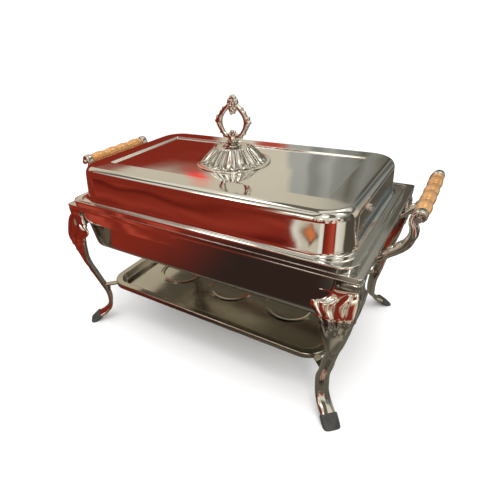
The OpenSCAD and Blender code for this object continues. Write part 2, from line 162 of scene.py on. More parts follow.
def ball(bm, centre, size, turn=0.0, segments=16):
    """Ellipsoid of half sizes size, leaning by turn degrees in the XZ plane."""
    matrix = Matrix.Translation(centre) @ Matrix.Rotation(math.radians(turn), 4, "Y")
    matrix = matrix @ Matrix.Diagonal((*size, 1))
    bmesh.ops.create_uvsphere(bm, u_segments=segments, v_segments=segments // 2, radius=1, matrix=matrix)


def rod(bm, points, radii, flat=1.0, sides=12):
    """Round bar along points in the XZ plane, with a radius at each point, flattened along Y."""
    rings = []
    for i, point in enumerate(points):
        along = (points[min(i + 1, len(points) - 1)] - points[max(i - 1, 0)]).normalized()
        across = Vector((along.z, 0, -along.x))
        rings.append([point + across * (radii[i] * math.cos(math.tau * k / sides))
                      + Vector((0, 1, 0)) * (radii[i] * flat * math.sin(math.tau * k / sides))
                      for k in range(sides)])
    skin(bm, rings)


def finish_mesh(bm, name):
    """Turns a bmesh in millimetres into an object in metres."""
    bmesh.ops.recalc_face_normals(bm, faces=bm.faces)
    bmesh.ops.scale(bm, vec=(MM, MM, MM), verts=bm.verts)
    mesh = bpy.data.meshes.new(name)
    bm.to_mesh(mesh)
    bm.free()
    mesh.shade_smooth()
    piece = bpy.data.objects.new(name, mesh)
    bpy.context.scene.collection.objects.link(piece)
    return piece


def apply_modifiers(piece):
    """Puts the result of a piece's modifiers into its mesh."""
    depsgraph = bpy.context.evaluated_depsgraph_get()
    mesh = bpy.data.meshes.new_from_object(piece.evaluated_get(depsgraph))
    piece.modifiers.clear()
    piece.data = mesh
    mesh.shade_smooth()


def cast(piece, voxel, passes):
    """Runs the overlapping lumps of a piece together into one cast skin."""
    remesh = piece.modifiers.new("remesh", "REMESH")
    remesh.mode = "VOXEL"
    remesh.voxel_size = voxel * MM
    soft = piece.modifiers.new("soft", "SMOOTH")
    soft.factor = 0.5
    soft.iterations = passes
    apply_modifiers(piece)


def keep_flats(piece):
    """Weights normals by area, so flats read flat beside their fillets."""
    weighted = piece.modifiers.new("weighted", "WEIGHTED_NORMAL")
    weighted.keep_sharp = True
    weighted.weight = 100


def place(piece, body, slot, nodes):
    """Gives a mesh its slot's material and puts it on its body in place of its CAD nodes."""
    piece.data.materials.clear()
    piece.data.materials.append(LOOKS[slot])
    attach(piece, body)
    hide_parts(*nodes)


# ---- Materials ----

class Look:
    """A node material being put together."""

    def __init__(self, name):
        self.material = bpy.data.materials.new(name)
        self.material.use_nodes = True
        self.tree = self.material.node_tree
        self.shader = self.tree.nodes["Principled BSDF"]
        self.coordinates = self.tree.nodes.new("ShaderNodeTexCoord").outputs["Object"]
        self.normal = None

    def noise(self, scale, stretch=(1, 1, 1), detail=3, roughness=0.5):
        mapping = self.tree.nodes.new("ShaderNodeMapping")
        mapping.inputs["Scale"].default_value = stretch
        self.tree.links.new(self.coordinates, mapping.inputs["Vector"])
        node = self.tree.nodes.new("ShaderNodeTexNoise")
        node.inputs["Scale"].default_value = scale
        node.inputs["Detail"].default_value = detail
        node.inputs["Roughness"].default_value = roughness
        self.tree.links.new(mapping.outputs["Vector"], node.inputs["Vector"])
        return node.outputs["Fac"]

    def spread(self, value, low, high, from_low=0.3, from_high=0.7):
        node = self.tree.nodes.new("ShaderNodeMapRange")
        node.inputs["From Min"].default_value = from_low
        node.inputs["From Max"].default_value = from_high
        node.inputs["To Min"].default_value = low
        node.inputs["To Max"].default_value = high
        self.tree.links.new(value, node.inputs["Value"])
        return node.outputs["Result"]

    def add(self, a, b):
        node = self.tree.nodes.new("ShaderNodeMath")
        node.operation = "ADD"
        self.tree.links.new(a, node.inputs[0])
        self.tree.links.new(b, node.inputs[1])
        return node.outputs["Value"]

    def ramp(self, value, stops):
        node = self.tree.nodes.new("ShaderNodeValToRGB")
        elements = node.color_ramp.elements
        while len(elements) < len(stops):
            elements.new(0.5)
        for element, (position, colour) in zip(elements, stops):
            element.position = position
            element.color = (*colour, 1)
        self.tree.links.new(value, node.inputs["Fac"])
        return node.outputs["Color"]

    def bump(self, height, strength, distance):
        node = self.tree.nodes.new("ShaderNodeBump")
        node.inputs["Strength"].default_value = strength
        node.inputs["Distance"].default_value = distance
        self.tree.links.new(height, node.inputs["Height"])
        if self.normal:
            self.tree.links.new(self.normal, node.inputs["Normal"])
        self.normal = node.outputs["Normal"]

    def set(self, socket, value):
        if hasattr(value, "links"):
            self.tree.links.new(value, self.shader.inputs[socket])
        else:
            self.shader.inputs[socket].default_value = value

    def done(self):
        if self.normal:
            self.tree.links.new(self.normal, self.shader.inputs["Normal"])
        return self.material


def steel(name, light, dark, rough, streaks, wave, grain=(1, 1, 1), smudge=0.06, scratch=0.12):
    """Polished or brushed steel: fine lines along the grain, smudges, and sheet that isn't quite flat."""
    look = Look(name)
    patch = look.noise(7, detail=4)
    look.set("Base Color", look.ramp(patch, [(0.3, dark), (0.7, light)]))
    lines = look.noise(60, grain, detail=6, roughness=0.7)
    smears = look.noise(16, (1, 1.6, 1), detail=5, roughness=0.6)
    base = look.spread(smears, rough, rough + smudge, 0.4, 0.75)
    look.set("Roughness", look.add(base, look.spread(lines, 0, streaks, 0.35, 0.8)))
    look.set("Metallic", 1.0)
    look.bump(look.noise(5, detail=1), 1.0, wave)
    look.bump(lines, scratch, 0.00012)
    return look.done()


def casting():
    """Plated casting: lighter on the high places, rougher in the hollows, and darkened there by painted
    shade.
    """
    look = Look("plated_casting")
    geometry = look.tree.nodes.new("ShaderNodeNewGeometry")
    painted_shade_hollow = geometry.outputs["Pointiness"]
    # Painted shade: the base colour turns dark where pointiness is low, in the hollows and creases.
    look.set("Base Color", look.ramp(painted_shade_hollow, [
        (0.44, (0.12, 0.1, 0.08)), (0.495, (0.68, 0.65, 0.6)), (0.55, (0.9, 0.88, 0.83)),
    ]))
    worn = look.spread(look.noise(40, detail=4), 0.05, 0.12)
    look.set("Roughness", look.add(worn, look.spread(painted_shade_hollow, 0.14, 0.0, 0.44, 0.5)))
    look.set("Metallic", 1.0)
    look.bump(look.noise(40, detail=2), 0.15, 0.0005)
    return look.done()


def gold():
    """Gold-coloured plated grip with a clear lacquer over it."""
    look = Look("gold_plate")
    patch = look.noise(22, (1, 0.4, 1), detail=4)
    look.set("Base Color", look.ramp(patch, [(0.3, (0.74, 0.36, 0.125)), (0.7, (0.86, 0.48, 0.19))]))
    look.set("Roughness", look.spread(look.noise(45, detail=4), 0.22, 0.34))
    look.set("Metallic", 0.6)
    look.set("Coat Weight", 0.6)
    look.set("Coat Roughness", 0.08)
    look.bump(look.noise(60, detail=3), 0.12, 0.0003)
    return look.done()


def rubber():
    """Dull black rubber with a fine grain."""
    look = Look("black_rubber")
    patch = look.noise(70, detail=5)
    look.set("Base Color", look.ramp(patch, [(0.3, (0.028, 0.028, 0.026)), (0.7, (0.06, 0.06, 0.055))]))
    look.set("Roughness", look.spread(patch, 0.5, 0.72))
    look.set("Specular IOR Level", 0.4)
    look.bump(look.noise(900, detail=3), 0.25, 0.0002)
    return look.done()


LOOKS = {
    "mirror_steel": steel(
        "mirror_steel", (0.84, 0.83, 0.81), (0.74, 0.73, 0.7),
        rough=0.025, streaks=0.05, wave=0.0035, grain=(1, 14, 14), smudge=0.045, scratch=0.08),
    "brushed_steel": steel(
        "brushed_steel", (0.66, 0.65, 0.63), (0.55, 0.54, 0.52),
        rough=0.2, streaks=0.16, wave=0.002, grain=(1, 16, 16)),
    "satin_steel": steel(
        "satin_steel", (0.58, 0.55, 0.48), (0.47, 0.44, 0.38),
        rough=0.1, streaks=0.06, wave=0.0016, grain=(1, 10, 10), smudge=0.08, scratch=0.03),
    "plated_casting": casting(),
    "hardware_steel": steel(
        "hardware_steel", (0.6, 0.6, 0.6), (0.42, 0.42, 0.42), rough=0.22, streaks=0.15, wave=0.0004),
    "gold_plate": gold(),
    "black_rubber": rubber(),
}
SLOT_OF = {part["node"]: part["material_slot"] for part in frame["record"]["subparts"]}


def dress(nodes):
    """Gives the CAD nodes that stay their slot's material."""
    for node in nodes:
        data = frame["nodes"][node].data
        data.materials.clear()
        data.materials.append(LOOKS[SLOT_OF[node]])


# ---- Pans, cover and shelf ----

def shell_piece(name, path, middle=0.0, steps=14):
    """Sheet metal skinned over the rounded rectangles of a path."""
    bm = bmesh.new()
    skin(bm, [rectangle(x, y, corner, z, middle, steps) for x, y, corner, z in path])
    piece = finish_mesh(bm, name)
    keep_flats(piece)
    return piece


def cover_dome():
    """The pressed cover: recessed panel, rounded shoulder, leaning wall, creased brim and rolled lip."""
    panel_x, panel_y = 216.4, 108.4
    wall_x, wall_y = COVER_X - 16, COVER_Y - 11
    brim = COVER_LOW.z + 10.6
    top, low = COVER_HIGH.z, COVER_LOW.z
    outer = soften([
        [panel_x - 1.6, panel_y - 1.6, 1.8, top - 2.6, 0],
        [panel_x - 1, panel_y - 1, 2.4, top - 2.6, 0.5],
        [panel_x, panel_y, 3.4, top, 0.5],
        [wall_x - 9, wall_y - 5.5, 50, top - 1.6, 14.5],
        [wall_x + 0.6, wall_y + 0.6, 56, brim + 0.4, 6],
        [COVER_X - 11.5, COVER_Y - 7.6, 38, brim - 0.2, 0.5],
        [COVER_X - 10.5, COVER_Y - 7.0, 36, brim - 1.0, 0.5],
        [COVER_X - 3.2, COVER_Y - 2.6, 26, brim - 0.6, 0.5],
        [COVER_X, COVER_Y, 26, brim - 0.9, 3.0],
        [COVER_X, COVER_Y, 26, low, 0.3],
        [COVER_X - SHEET, COVER_Y - SHEET, 24.8, low, 0],
    ], 12)
    inner = []
    for x, y, corner, z in outer:
        if z > low + 1.5:
            inner.append([x - SHEET, y - SHEET, max(corner - SHEET, 1), z - SHEET])
    piece = shell_piece("cover_dome", outer + inner[::-1], COVER_MID, 30)
    place(piece, "cover", "mirror_steel", ["cover_shell"])


def bathtub():
    """The water pan: rolled lip, flat flange, ledge for the food pan, and a deep tapered body."""
    mouth_x, mouth_y = RIM_X - 16, RIM_Y - 11
    ledge = RIM_Z - 8
    body_x, body_y = mouth_x - 3, mouth_y - 3
    floor_x, floor_y = body_x - 2, body_y - 10
    floor = PAN_LOW.z + SHEET
    lip = RIM_Z - 10
    path = soften([
        [floor_x - 20, floor_y - 20, 10, floor - SHEET, 0],
        [floor_x + SHEET, floor_y + SHEET, 24.9, floor - SHEET, 15],
        [body_x + SHEET, body_y + SHEET, 20.9, ledge - SHEET, 1],
        [mouth_x + SHEET, mouth_y + SHEET, 8.9, ledge - SHEET, 0.6],
        [mouth_x + SHEET, mouth_y + SHEET, 8.9, RIM_Z - SHEET, 0.4],
        [RIM_X - SHEET, RIM_Y - SHEET, 5.1, RIM_Z - SHEET, 0.6],
        [RIM_X - SHEET, RIM_Y - SHEET, 5.1, lip + 0.3, 0.2],
        [RIM_X - 0.5, RIM_Y - 0.5, 5.5, lip, 0.3],
        [RIM_X, RIM_Y, 6, lip + 0.6, 0.4],
        [RIM_X - 0.1, RIM_Y - 0.1, 5.9, lip + 2.2, 0.4],
        [RIM_X - 0.6, RIM_Y - 0.6, 5.4, lip + 2.8, 0.3],
        [RIM_X - 0.3, RIM_Y - 0.3, 5.7, RIM_Z, 1.6],
        [mouth_x, mouth_y, 8, RIM_Z, 1.1],
        [mouth_x, mouth_y, 8, ledge, 0.5],
        [body_x, body_y, 20, ledge, 1.2],
        [floor_x, floor_y, 24, floor, 14],
        [floor_x - 20, floor_y - 20, 10, floor, 0],
    ])
    piece = shell_piece("water_pan_body", path)
    place(piece, "water_pan", "mirror_steel", ["water_pan"])


def food_tray():
    """The food pan that drops in: flat rim, rounded mouth, leaning walls."""
    rim_x, rim_y, rim_z = FOOD_HIGH
    in_x, in_y = rim_x - 20, rim_y - 20
    floor_x, floor_y = in_x - 9, in_y - 9
    floor = FOOD_LOW.z + SHEET
    path = soften([
        [floor_x - 20, floor_y - 20, 22, floor - SHEET, 0],
        [floor_x + SHEET, floor_y + SHEET, 41, floor - SHEET, 13],
        [in_x + SHEET, in_y + SHEET, 44, rim_z - SHEET, 2],
        [rim_x - 0.2, rim_y - 0.2, 6.8, rim_z - SHEET, 0.3],
        [rim_x, rim_y, 7, rim_z - 0.6, 0.4],
        [rim_x - 0.2, rim_y - 0.2, 6.8, rim_z, 0.3],
        [in_x, in_y, 43, rim_z, 4],
        [floor_x, floor_y, 40, floor, 12],
        [floor_x - 20, floor_y - 20, 22, floor, 0],
    ])
    piece = shell_piece("food_pan_body", path)
    place(piece, "food_pan", "brushed_steel", ["food_pan"])


# The bead rings: distance from one to the next, where their row lies, and their radius
CAN_PITCH = 148
CAN_Y = -38
CAN_RING = 50
BEAD_STEPS = 96


def bead_rings(middle, floor):
    """Concentric circles that rise over one pressed bead, from the outside in."""
    half = [(6.5, 0), (5.2, 0.25), (3.4, 0.85), (1.6, 1.4)]
    rows = half + [(0, 1.6)] + [(-out, up) for out, up in reversed(half)]
    turns = [math.tau * k / BEAD_STEPS for k in range(BEAD_STEPS)]
    rings = []
    for out, up in rows:
        radius = CAN_RING + out
        rings.append([Vector((middle + radius * math.cos(a), CAN_Y + radius * math.sin(a), floor + up))
                      for a in turns])
    return rings


def shelf_tray():
    """The shelf: rolled rim, sunken floor, and a pressed bead ring for each fuel can."""
    x, y, top = SHELF_HIGH
    in_x, in_y, in_r = x - 16, y - 16, 29
    floor = SHELF_LOW.z + SHEET
    inner_x, inner_y = in_x - 3, in_y - 3
    path = soften([
        [inner_x - 12, inner_y - 12, in_r - 10, floor - SHEET, 0],
        [inner_x + SHEET, inner_y + SHEET, in_r, floor - SHEET, 6],
        [in_x + SHEET, in_y + SHEET, in_r + SHEET, top - SHEET, 1.5],
        [x - SHEET, y - SHEET, 44.1, top - SHEET, 1.6],
        [x - SHEET, y - SHEET, 44.1, top - 11, 0.2],
        [x, y, 45, top - 11, 0.2],
        [x, y, 45, top, 3.2],
        [in_x, in_y, in_r, top, 2.6],
        [inner_x, inner_y, in_r - 1.2, floor, 5],
        [inner_x - 12, inner_y - 12, in_r - 10, floor, 0],
    ])
    bm = bmesh.new()
    rings = [rectangle(px, py, corner, z) for px, py, corner, z in path]
    loops = skin(bm, rings, cap_last=False)
    edge_loops = [loops[-1]]
    for i in (-1, 0, 1):
        bead = skin(bm, bead_rings(i * CAN_PITCH, floor), cap_first=False)
        edge_loops.append(bead[0])
    edges = []
    for loop in edge_loops:
        for a, b in zip(loop, loop[1:] + loop[:1]):
            edges.append(bm.edges.get((a, b)))
    bmesh.ops.triangle_fill(bm, use_beauty=True, use_dissolve=False, edges=edges)
    piece = finish_mesh(bm, "fuel_shelf_tray")
    keep_flats(piece)
    place(piece, "stand", "satin_steel", ["fuel_shelf"])


# ---- Cover handle ----

FLUTES = 28


def fluted_base():
    """The bell under the ring: a thin disc, 28 rounded flutes and a dished top."""
    middle = Vector((0, (BASE_LOW.y + BASE_HIGH.y) / 2, BASE_LOW.z))
    height = BASE_HIGH.z - BASE_LOW.z
    outline = [
        [BASE_HIGH.x - 0.3, 0.0, 0], [BASE_HIGH.x, 0.7, 0], [BASE_HIGH.x - 0.2, 1.5, 0],
        [BASE_HIGH.x - 1.2, 2.0, 0], [63.4, 2.2, 0], [61.4, 3.0, 1.8], [58.2, 5.8, 3.8], [54.0, 9.6, 4.2],
        [49.8, 13.6, 4.0], [45.4, 17.4, 3.6], [41.2, 21, 3.1], [37.2, 24.2, 2.4], [34.2, 26.4, 1.4],
        [32.4, 27.4, 0.3], [30.8, height, 0], [29.0, height, 0], [27.4, 27.2, 0], [20, 26.6, 0],
        [15.4, 27, 0], [13, height, 0], [0, height, 0],
    ]
    around = FLUTES * 10
    rings = []
    for t in range(2 * (len(outline) - 1) + 1):
        radius, z, depth = spline(outline, t / 2)
        ring = []
        for k in range(around):
            a = math.tau * k / around
            groove = abs(math.cos(a * FLUTES / 2)) ** 1.5
            r = max(radius - max(depth, 0) * groove, 0.05)
            ring.append(middle + Vector((r * math.cos(a), r * math.sin(a), min(z, height))))
        rings.append(ring)
    bm = bmesh.new()
    skin(bm, rings)
    piece = finish_mesh(bm, "fluted_base")
    place(piece, "cover", "plated_casting", ["handle_base"])


# Rows up one arm of the ring: distance from the middle, height and radius
RING_ARM = [
    [2, 4.2, 4.3], [10.5, 4.8, 4.2], [18.5, 10, 4.2], [24.4, 18, 4.8], [28.2, 27.6, 6.0],
    [24.6, 37, 4.8], [18.6, 44.4, 4.3], [12.4, 50, 4.2], [6.5, 54, 4.2],
]


def ring_casting():
    """The cast ring: two bowed arms, leafy knuckles, a leaf in the bottom and a berry cluster on top."""
    bm = bmesh.new()
    y, z0 = (RING_LOW.y + RING_HIGH.y) / 2, RING_LOW.z
    steps = [i / 4 for i in range(4 * (len(RING_ARM) - 1) + 1)]
    for side in (-1, 1):
        rows = [spline(RING_ARM, t) for t in steps]
        rod(bm, [Vector((side * row[0], y, z0 + row[1])) for row in rows], [row[2] for row in rows], flat=0.9)
        for t in (1.7, 2.5, 5.6, 6.3):
            row = spline(RING_ARM, t)
            out = Vector((row[0], row[1] - 27)).normalized() * 3.2
            ball(bm, (side * (row[0] + out.x), y, z0 + row[1] + out.y), (2.6, 3.0, 3.4), segments=12)
        for dx, dz, size, lean in ((31.0, 29.0, (5.4, 5.0, 4.4), 0), (30.6, 33.5, (3.2, 4.4, 5.4), 24),
                                   (34.0, 28.8, (3.0, 3.6, 2.8), 0)):
            ball(bm, (side * dx, y, z0 + dz), size, side * lean)
        ball(bm, (side * 6.6, y, z0 + 8.6), (3.8, 3.6, 3.0), side * 24)
        ball(bm, (side * 3.4, y, z0 + 12.4), (2.6, 3.2, 3.2), side * 24)
    ball(bm, (0, y, z0 + 10), (3.2, 3.4, 6.4))
    rod(bm, [Vector((0, y, z0)), Vector((0, y, z0 + 2.4)), Vector((0, y, z0 + 6.5))], [8, 7.6, 6], sides=24)
    berries = random.Random(7)
    for count, height in ((1, 42.8), (2, 46), (3, 49.6), (4, 53.4), (4, 57.4), (3, 61)):
        for k in range(count):
            across = (k - (count - 1) / 2) * 5.0
            depth = 4.9 - 0.4 * abs(across)
            for face in (-1, 1):
                lift = berries.uniform(-0.5, 0.5)
                ball(bm, (across, y + face * depth, z0 + height + lift), (2.8, 2.8, 2.8), segments=12)
    ball(bm, (0, y, z0 + 53), (9.0, 4.6, 10.5))
    for dx, dz, lean in ((-6.8, 60, -24), (6.8, 60, 24), (-3.2, 64.2, -10), (3.2, 64.2, 10), (0, 66, 0)):
        ball(bm, (dx, y, z0 + dz), (3.4, 3.8, 4.2), lean)
    piece = finish_mesh(bm, "ring_casting")
    cast(piece, 0.55, 2)
    place(piece, "cover", "plated_casting", ["ring_handle"])


# ---- Legs ----

# Rows down the leg: ridge's distance outside the corner, height, half width, fold of the wings,
# thickness, and how far the middle lies towards the long side
LEG_ROWS = [
    [-2, RIM_Z - 11, 25, 0.98, 8.6, 0],
    [-2, 284, 25, 0.98, 8.6, 0],
    [5, 267, 46, 0.95, 5, 4],
    [11, 243, 38, 0.9, 5, 10],
    [8, 217, 29, 0.75, 6, 12],
    [2, 190, 20, 0.5, 8, 12],
    [-5, 165, 12.5, 0.2, 9, 11],
    [-12, 138, 12.5, 0.25, 8.5, 9],
    [-18, 112, 13, 0.3, 8, 6],
    [-25, 84, 13.5, 0.35, 8, 4],
    [-26, 60, 13.5, 0.35, 8, 1],
    [-22, 42, 13.5, 0.3, 8, 0],
    [-10, 29, 14, 0.2, 8.5, 0],
    [8, 18, 14, 0.1, 9, 0],
    [22, 7, 14, 0, 9, 0],
    [35, -4, 14, 0, 9, 0],
]
# Rows, counted from the top, at which the metal ends, the cap starts and the cap ends
LEG_END = 13.6
CAP_START = 12.9
CAP_END = 14.42
# Half width of the round that softens the ridge
RIDGE = 3
PETALS = 6
PETAL_RISE = 3.6
# Points across the front of a section and across its back, and sections per row
OUTER_STEPS = 44
INNER_STEPS = 14
ROW_STEPS = 13
# Berries at the foot of the petals: height, place across the leaf and radius
LEAF_BERRIES = [
    (224, 0.0, 3.2), (217, 0.34, 2.6), (217, -0.34, 2.6),
    (227, 0.66, 2.6), (227, -0.66, 2.6), (209, 0.0, 2.2),
]


def leg_frame(t):
    """The row at t, and the direction out of the leg in its upright plane."""
    row = spline(LEG_ROWS, t)
    ahead = spline(LEG_ROWS, min(t + 0.05, len(LEG_ROWS) - 1.001))
    behind = spline(LEG_ROWS, max(t - 0.05, 0))
    d = Vector((ahead[0] - behind[0], ahead[1] - behind[1])).normalized()
    return row, Vector((-d.y, d.x))


def leg_point(row, out, s, q):
    """Point that lies s across the leg and q out of it."""
    r, side = row[0] + out.x * q, row[5] + s
    return Vector((RIM_X + (r - side) / math.sqrt(2), RIM_Y + (r + side) / math.sqrt(2), row[1] + out.y * q))


def petal_relief(z, u):
    """Fan of rounded petals over the knee, one beside the other with a crease between."""
    place_in = u * PETALS / 2
    centre = round(place_in) * 2 / PETALS
    local = place_in - round(place_in)
    top = 285 - 15 * centre * centre - 30 * local * local
    rise = smooth_step(206, 246, z)
    if z > top:
        return 0.0
    end = math.sqrt(min((top - z) / 7, 1.0))
    return PETAL_RISE * rise * end * math.cos(math.pi * local) ** 0.8


def bump_at(z, u, row, at_z, at_u, radius):
    """Round bump of height 1."""
    away = ((z - at_z) ** 2 + ((u - at_u) * row[2]) ** 2) / radius ** 2
    return math.exp(-away * 1.4)


def leg_relief(row, u):
    """Height of the ornament above the plain leg."""
    z = row[1]
    high = petal_relief(z, u)
    spine = math.exp(-(u * row[2] / 1.7) ** 2)
    lower_leaf = smooth_step(163, 178, z) * (1 - smooth_step(206, 222, z))
    high += lower_leaf * (1.5 * abs(math.sin(math.pi * u)) ** 0.7 + 1.0 * spine)
    shoulder = smooth_step(165, 158, z) if z > 158 else smooth_step(105, 158, z)
    high += 1.5 * shoulder * (1 - u * u)
    if 96 < z < 156:
        high += 0.9 * spine * (0.6 + 0.4 * math.cos(math.tau * z / 5.5))
    if z < 110:
        high += 0.5 * spine * smooth_step(20, 50, z)
    for at_z, at_u, radius in LEAF_BERRIES:
        high += 1.7 * bump_at(z, u, row, at_z, at_u, radius)
    return high


def upturn(z, u):
    """How far the tips of the wings curl up."""
    return 8 * smooth_step(0.55, 1.0, abs(u)) * smooth_step(236, 262, z) * (1 - smooth_step(266, 286, z))


def leg_half_width(row):
    """Half width with the leaf's teeth along its edge."""
    z = row[1]
    if 212 < z < 262:
        tooth = ((262 - z) / 16.5) % 1.0
        return row[2] * (1 - 0.085 * tooth ** 1.5 * smooth_step(212, 222, z))
    return row[2]


def leg_ring(t):
    """Section of the leg at t: carved front, then the plain back."""
    row, out = leg_frame(t)
    width = leg_half_width(row)
    fold, thick = row[3], row[4]
    plain = smooth_step(262, 284, row[1])
    ring = []
    for k in range(OUTER_STEPS + 1):
        u = math.sin(math.pi * (k / OUTER_STEPS - 0.5))
        s = width * u
        q = -fold * (math.hypot(s, RIDGE) - RIDGE) - (2.4 - 1.4 * plain) * abs(u) ** 7
        edge = 1 - abs(u) ** 10
        point = leg_point(row, out, s, q + leg_relief(row, u) * edge)
        ring.append(point + Vector((0, 0, upturn(row[1], u))))
    for k in range(INNER_STEPS + 1):
        u = -math.sin(math.pi * (k / INNER_STEPS - 0.5)) * 0.995
        s = width * u
        q = -fold * (math.hypot(s, RIDGE) - RIDGE) - thick + (2.2 - 1.2 * plain) * abs(u) ** 7
        ring.append(leg_point(row, out, s, q) + Vector((0, 0, upturn(row[1], u))))
    return ring


def mirrored(rings, sx, sy):
    """Rings of the back right corner's piece, carried to another corner."""
    return [[Vector((p.x * sx, p.y * sy, p.z)) for p in ring] for ring in rings]


def legs():
    """Four cast legs, each one the mirror of its neighbour."""
    count = int(LEG_END * ROW_STEPS)
    rings = [leg_ring(LEG_END * i / count) for i in range(count + 1)]
    for corner, (sx, sy) in CORNERS.items():
        bm = bmesh.new()
        skin(bm, mirrored(rings, sx, sy))
        piece = finish_mesh(bm, "leg_casting_" + corner)
        place(piece, "stand", "plated_casting", ["leg_" + corner])


def cap_ring(t, grow, shrink=1.0):
    """Rounded oblong about the foot at t."""
    row, out = leg_frame(t)
    wide, deep = (row[2] + grow) * shrink, (row[4] / 2 + grow) * shrink
    ring = []
    for k in range(40):
        a = math.tau * k / 40
        cx, cy = math.cos(a), math.sin(a)
        s = wide * math.copysign(abs(cx) ** 0.55, cx)
        q = deep * math.copysign(abs(cy) ** 0.6, cy) - row[4] / 2
        ring.append(leg_point(row, out, s, q))
    return ring


def foot_caps():
    """Rubber caps pushed over the feet, cut flat where they stand."""
    wall = 2.6
    full = CAP_START + 0.16
    rings = [cap_ring(CAP_START, 0.6), cap_ring(CAP_START + 0.01, 1.6), cap_ring(CAP_START + 0.06, 2.3)]
    rings += [cap_ring(full + (CAP_END - full) * i / 9, wall) for i in range(9)]
    for i in range(1, 9):
        a = math.pi / 2 * i / 8
        rings.append(cap_ring(CAP_END - 0.05 + 0.4 * math.sin(a), wall, max(math.cos(a), 0.12)))
    for corner, (sx, sy) in CORNERS.items():
        bm = bmesh.new()
        skin(bm, mirrored(rings, sx, sy))
        bmesh.ops.recalc_face_normals(bm, faces=bm.faces)
        everything = bm.verts[:] + bm.edges[:] + bm.faces[:]
        cut = bmesh.ops.bisect_plane(bm, geom=everything, plane_co=(0, 0, 0), plane_no=(0, 0, -1),
                                     clear_outer=True)
        edges = [e for e in cut["geom_cut"] if isinstance(e, bmesh.types.BMEdge)]
        bmesh.ops.contextual_create(bm, geom=edges)
        piece = finish_mesh(bm, "rubber_cap_" + corner)
        keep_flats(piece)
        place(piece, "stand", "black_rubber", ["foot_cap_" + corner])


def rivet_heads():
    """Domed rivets through each wing of the legs."""
    low, high = box_mm("leg_rivets")
    z = (low.z + high.z) / 2
    inset = 30.0
    dome = [
        [0.0, -9.5], [1.6, -9.5], [1.6, -1.6], [3.2, -1.6],
        [3.1, -0.8], [2.4, -0.25], [1.3, -0.05], [0.0, 0.0],
    ]
    bm = bmesh.new()
    for sx, sy in CORNERS.values():
        long_wing = Matrix.Translation((sx * (RIM_X - inset), sy * high.y, z))
        short_wing = Matrix.Translation((sx * high.x, sy * (RIM_Y - inset), z))
        turned(bm, dome, long_wing @ Matrix.Rotation(-sy * math.pi / 2, 4, "X"), 24)
        turned(bm, dome, short_wing @ Matrix.Rotation(sx * math.pi / 2, 4, "Y"), 24)
    piece = finish_mesh(bm, "rivet_heads")
    place(piece, "stand", "hardware_steel", ["leg_rivets"])


# ---- Side handles ----

# Rows along the scroll: distance out from the rim's end, height over the rim, half thickness
SCROLL = [
    [-4, -23, 4.5], [4, -17, 5.5], [13, -8, 6.5], [22, 0, 7.2], [31, 10.5, 7.4], [35, 24, 6.5], [33, 36, 5],
    [28.5, 44.5, 4.2], [28, 52, 3.8], [32, 59.5, 3.4], [39.5, 60, 3.1], [43.5, 53.5, 2.8], [40.5, 48, 2.5],
]
SCROLL_SIDES = 36


def scroll_ring(t):
    """Section of the band: flat sides, a rounded back with three grooves along it."""
    row = spline(SCROLL, t)
    ahead = spline(SCROLL, min(t + 0.05, len(SCROLL) - 1.001))
    behind = spline(SCROLL, max(t - 0.05, 0))
    along = Vector((ahead[0] - behind[0], ahead[1] - behind[1])).normalized()
    out = Vector((along.y, -along.x))
    half = 9.0 - 2.2 * smooth_step(6.5, 12, t)
    ring = []
    for k in range(SCROLL_SIDES):
        a = math.tau * k / SCROLL_SIDES
        c, s = math.cos(a), math.sin(a)
        y = half * math.copysign(abs(c) ** 0.6, c)
        q = row[2] * math.copysign(abs(s) ** 0.6, s)
        if s > 0:
            q += 0.9 * abs(math.cos(math.pi * 1.5 * y / half)) * min(s * 2, 1) - 0.5
        ring.append(Vector((row[0] + out.x * q, y, row[1] + out.y * q)))
    return ring


def bracket_casting(name, end, side):
    """Scroll bracket: grooved band, volute with a round end, leaf spur and the foot on the rail."""
    bm = bmesh.new()
    steps = 6 * (len(SCROLL) - 1)
    skin(bm, [scroll_ring((len(SCROLL) - 1.001) * i / steps) for i in range(steps + 1)])
    grip = Vector(((GRIP_LOW.x + GRIP_HIGH.x) / 2 - RIM_X, 0, (GRIP_LOW.z + GRIP_HIGH.z) / 2 - RIM_Z))
    ball(bm, grip, (5.6, 8.0, 5.6), segments=24)
    for x, z, size, lean in ((38.5, 36, (2.2, 6, 8.0), -24), (40.6, 27, (2.2, 6, 6.5), -4),
                             (22, 9.5, (2.6, 7, 8.5), 48), (12, 0, (2.6, 6, 6.5), 52),
                             (9, -15, (2.4, 6.5, 7), 60)):
        ball(bm, (x, 0, z), size, lean)
    bmesh.ops.create_cube(bm, size=1, matrix=Matrix.Translation((-4.2, 0, -23))
                          @ Matrix.Diagonal((3.4, 23.6, 19.6, 1)))
    middle = side * (-BRACKET_LOW.y - BRACKET_HIGH.y) / 2
    shift = Matrix.Translation((RIM_X, middle, RIM_Z))
    bmesh.ops.transform(bm, matrix=Matrix.Diagonal((end, 1, 1, 1)) @ shift, verts=bm.verts)
    piece = finish_mesh(bm, name + "_casting")
    cast(piece, 0.8, 2)
    place(piece, "stand", "plated_casting", [name])


def brackets():
    """The four brackets, two at each end."""
    for end_name, end in (("left", -1), ("right", 1)):
        for side_name, side in (("front", -1), ("back", 1)):
            bracket_casting("bracket_" + end_name + "_" + side_name, end, side)


# Bulges along half a grip, from its middle to its end: start, stop, waist's radius and swell
BULGES = [(0.0, 0.42, 9.0, 2.4), (0.42, 0.5, 8.8, 1.2), (0.5, 0.93, 9.0, 2.5), (0.93, 1.0, 8.6, 1.8)]


